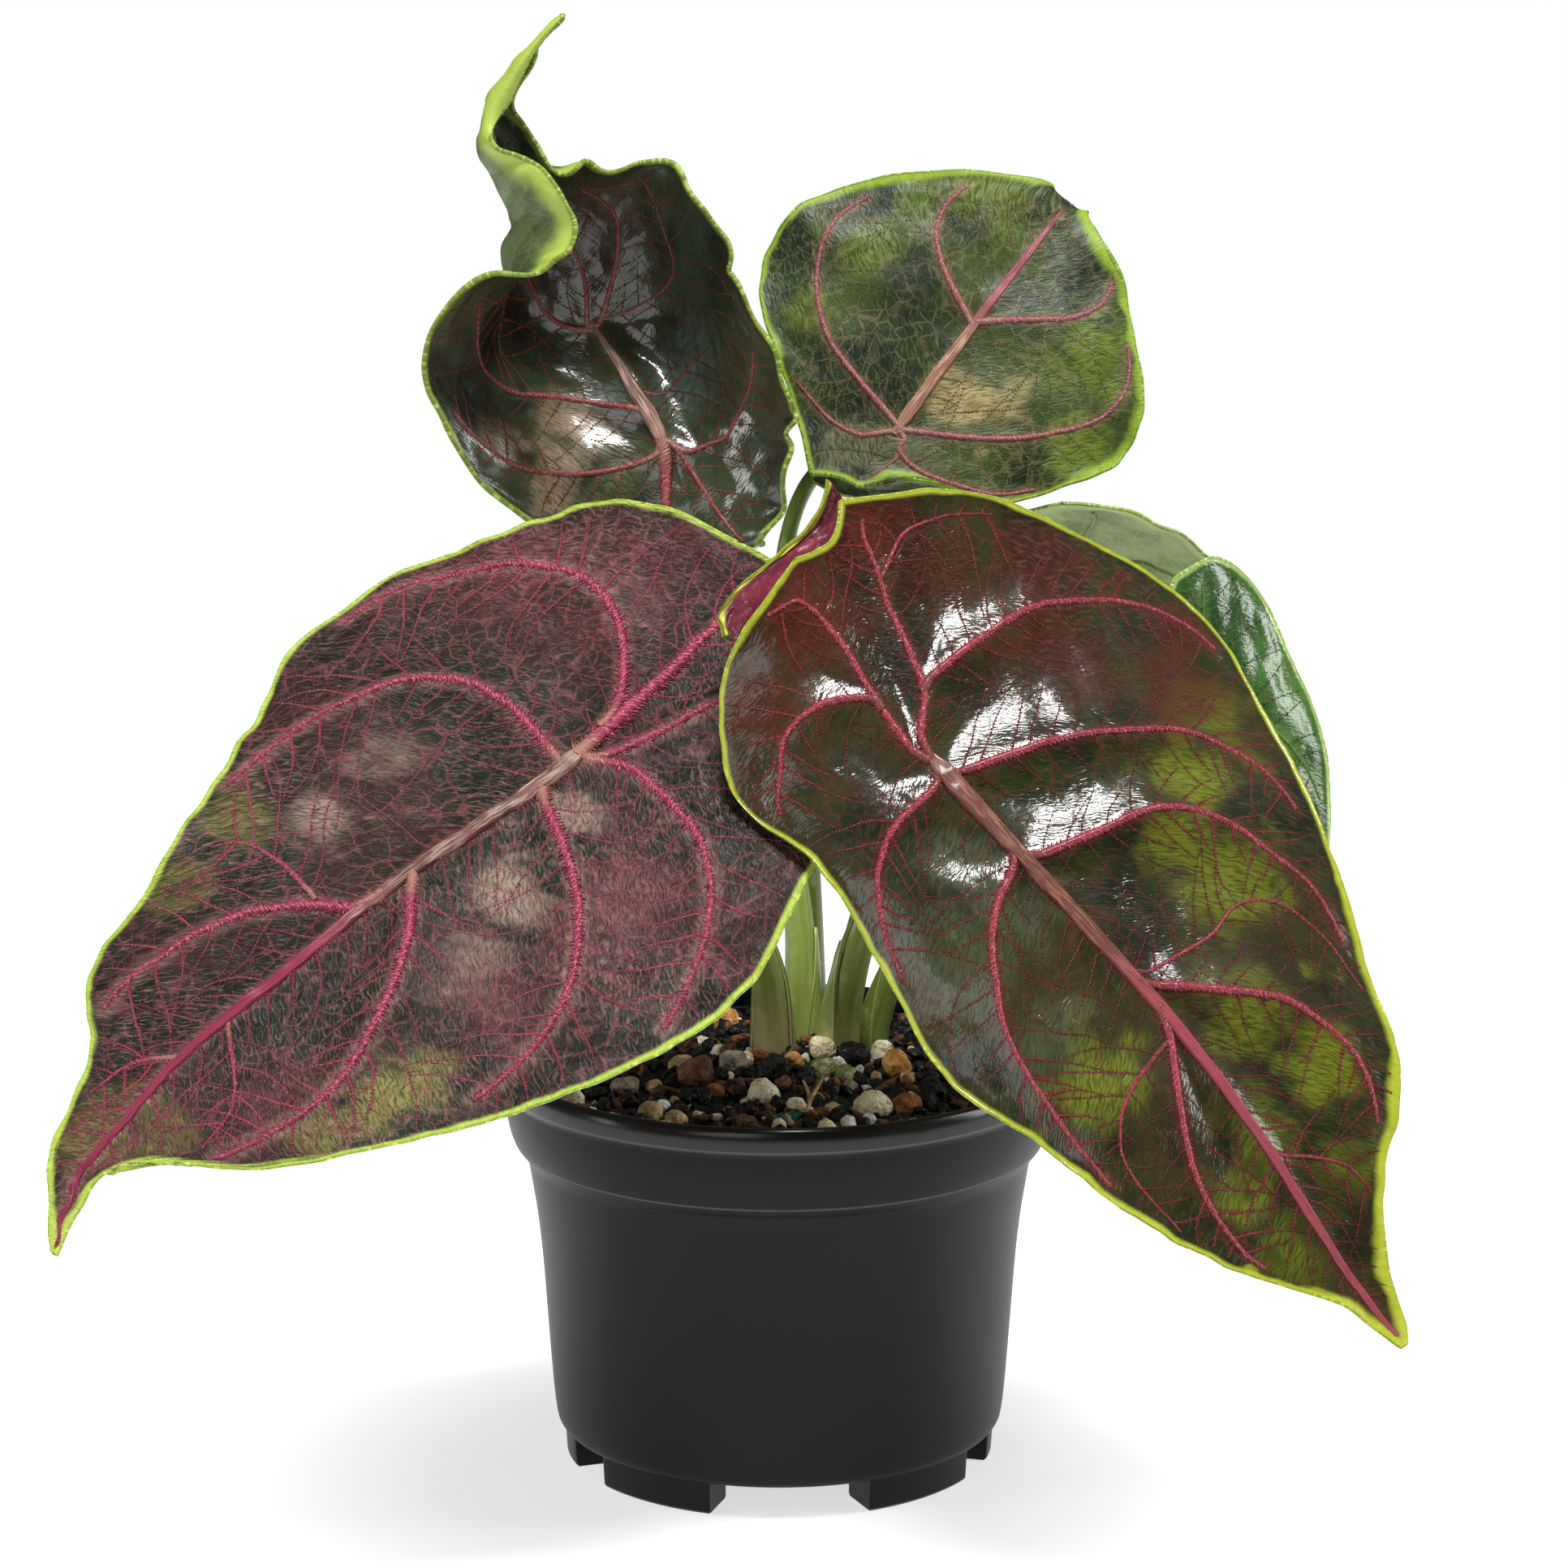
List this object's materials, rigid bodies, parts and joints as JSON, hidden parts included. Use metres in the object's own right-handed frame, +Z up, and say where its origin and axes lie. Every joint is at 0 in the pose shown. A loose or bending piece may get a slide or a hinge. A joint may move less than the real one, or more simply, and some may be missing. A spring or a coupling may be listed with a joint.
{
  "type": "potted alocasia azlanii",
  "caption": "Young potted aroid with broad arrow-shaped dark leaves on slim stalks, growing in bark soil in a round ribless nursery pot.",
  "frame": {"origin": "middle of the bottom of the whole plant's box, on the surface that the pot stands on", "axes": "+Z up, the pictured front towards -Y, +X to the right of the picture"},
  "size_m": [0.2672, 0.182, 0.3099],
  "materials": {
    "pot": "black satin moulded plastic",
    "soil": "damp bark and grit potting mix",
    "corm": "rough brown corm skin",
    "petiole": "smooth waxy leaf stalk",
    "leaf_purple": "satin purple-brown leaf with pink veins",
    "leaf_bronze": "glossy bronze-green leaf with crimson veins",
    "leaf_green": "satin green leaf with pink veins",
    "leaf_pale": "matt pale green leaf",
    "leaf_young": "glossy emerald young leaf"
  },
  "bodies": {
    "root": {"pot": "pot", "soil": "soil", "corm": "corm", "petiole_front_left": "petiole", "petiole_front_right": "petiole", "petiole_upper_left": "petiole", "petiole_upper_right": "petiole", "petiole_back": "petiole", "petiole_side": "petiole", "leaf_front_left": "leaf_purple", "leaf_front_right": "leaf_bronze", "leaf_upper_left": "leaf_bronze", "leaf_upper_right": "leaf_green", "leaf_back": "leaf_pale", "leaf_side": "leaf_young"}
  },
  "joints": []
}
